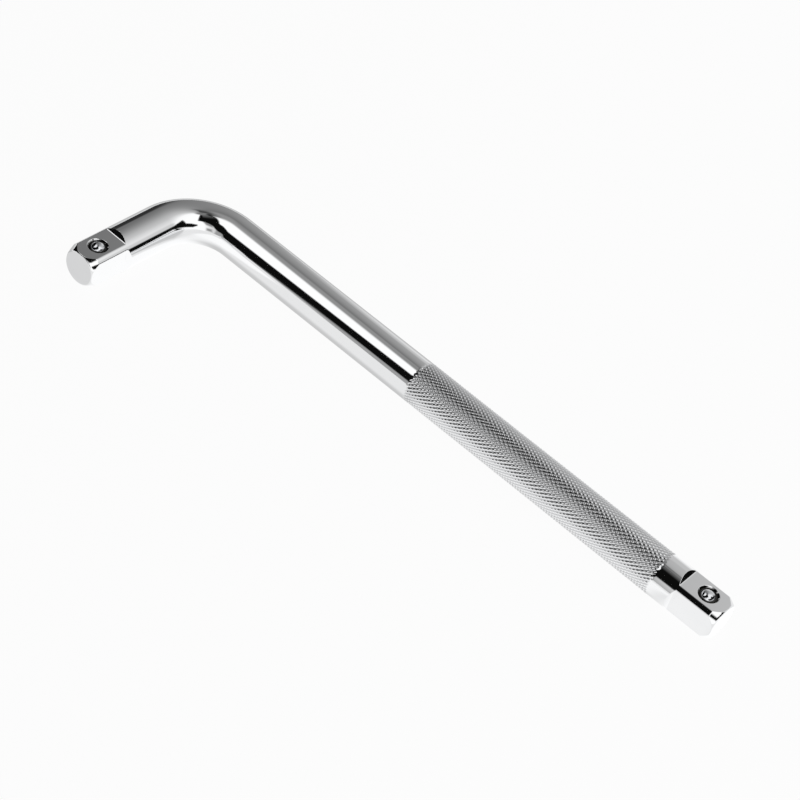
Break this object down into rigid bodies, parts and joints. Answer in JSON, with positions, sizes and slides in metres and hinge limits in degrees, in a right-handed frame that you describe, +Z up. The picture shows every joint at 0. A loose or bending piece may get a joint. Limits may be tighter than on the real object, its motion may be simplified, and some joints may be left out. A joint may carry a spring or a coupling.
{
  "type": "l-shaped square drive handle",
  "caption": "Round bar bent to a right angle with a knurled grip and a male square drive at each end, each square with a sprung ball that holds a socket.",
  "frame": {"origin": "middle of the part's box in plan, on the surface that the bar lies on", "axes": "+X along the long arm, from the bend to its drive end; -Y along the short arm, from the bend to its drive end; +Z up, square to the plane of the L, the way both detent balls face"},
  "size_m": [0.25, 0.0662, 0.0162],
  "materials": {
    "bar_chrome": "polished chrome plate on steel, with a satin diamond knurl on the grip",
    "ball_steel": "polished hardened bearing steel",
    "spring_steel": "bright drawn spring wire"
  },
  "bodies": {
    "bar": {"drive_bar": "bar_chrome", "long_end_spring": "spring_steel", "short_end_spring": "spring_steel"},
    "long_ball": {"long_end_ball": "ball_steel"},
    "short_ball": {"short_end_ball": "ball_steel"}
  },
  "joints": [
    {"name": "long_ball_press", "type": "slide", "parent": "bar", "child": "long_ball", "axis": [0, 0, -1], "range_m": [0, 0.001], "stiffness_N_per_m": 2500, "springref_m": -0.003, "deforming": ["long_end_spring"]},
    {"name": "short_ball_press", "type": "slide", "parent": "bar", "child": "short_ball", "axis": [0, 0, -1], "range_m": [0, 0.001], "stiffness_N_per_m": 2500, "springref_m": -0.003, "deforming": ["short_end_spring"]}
  ]
}
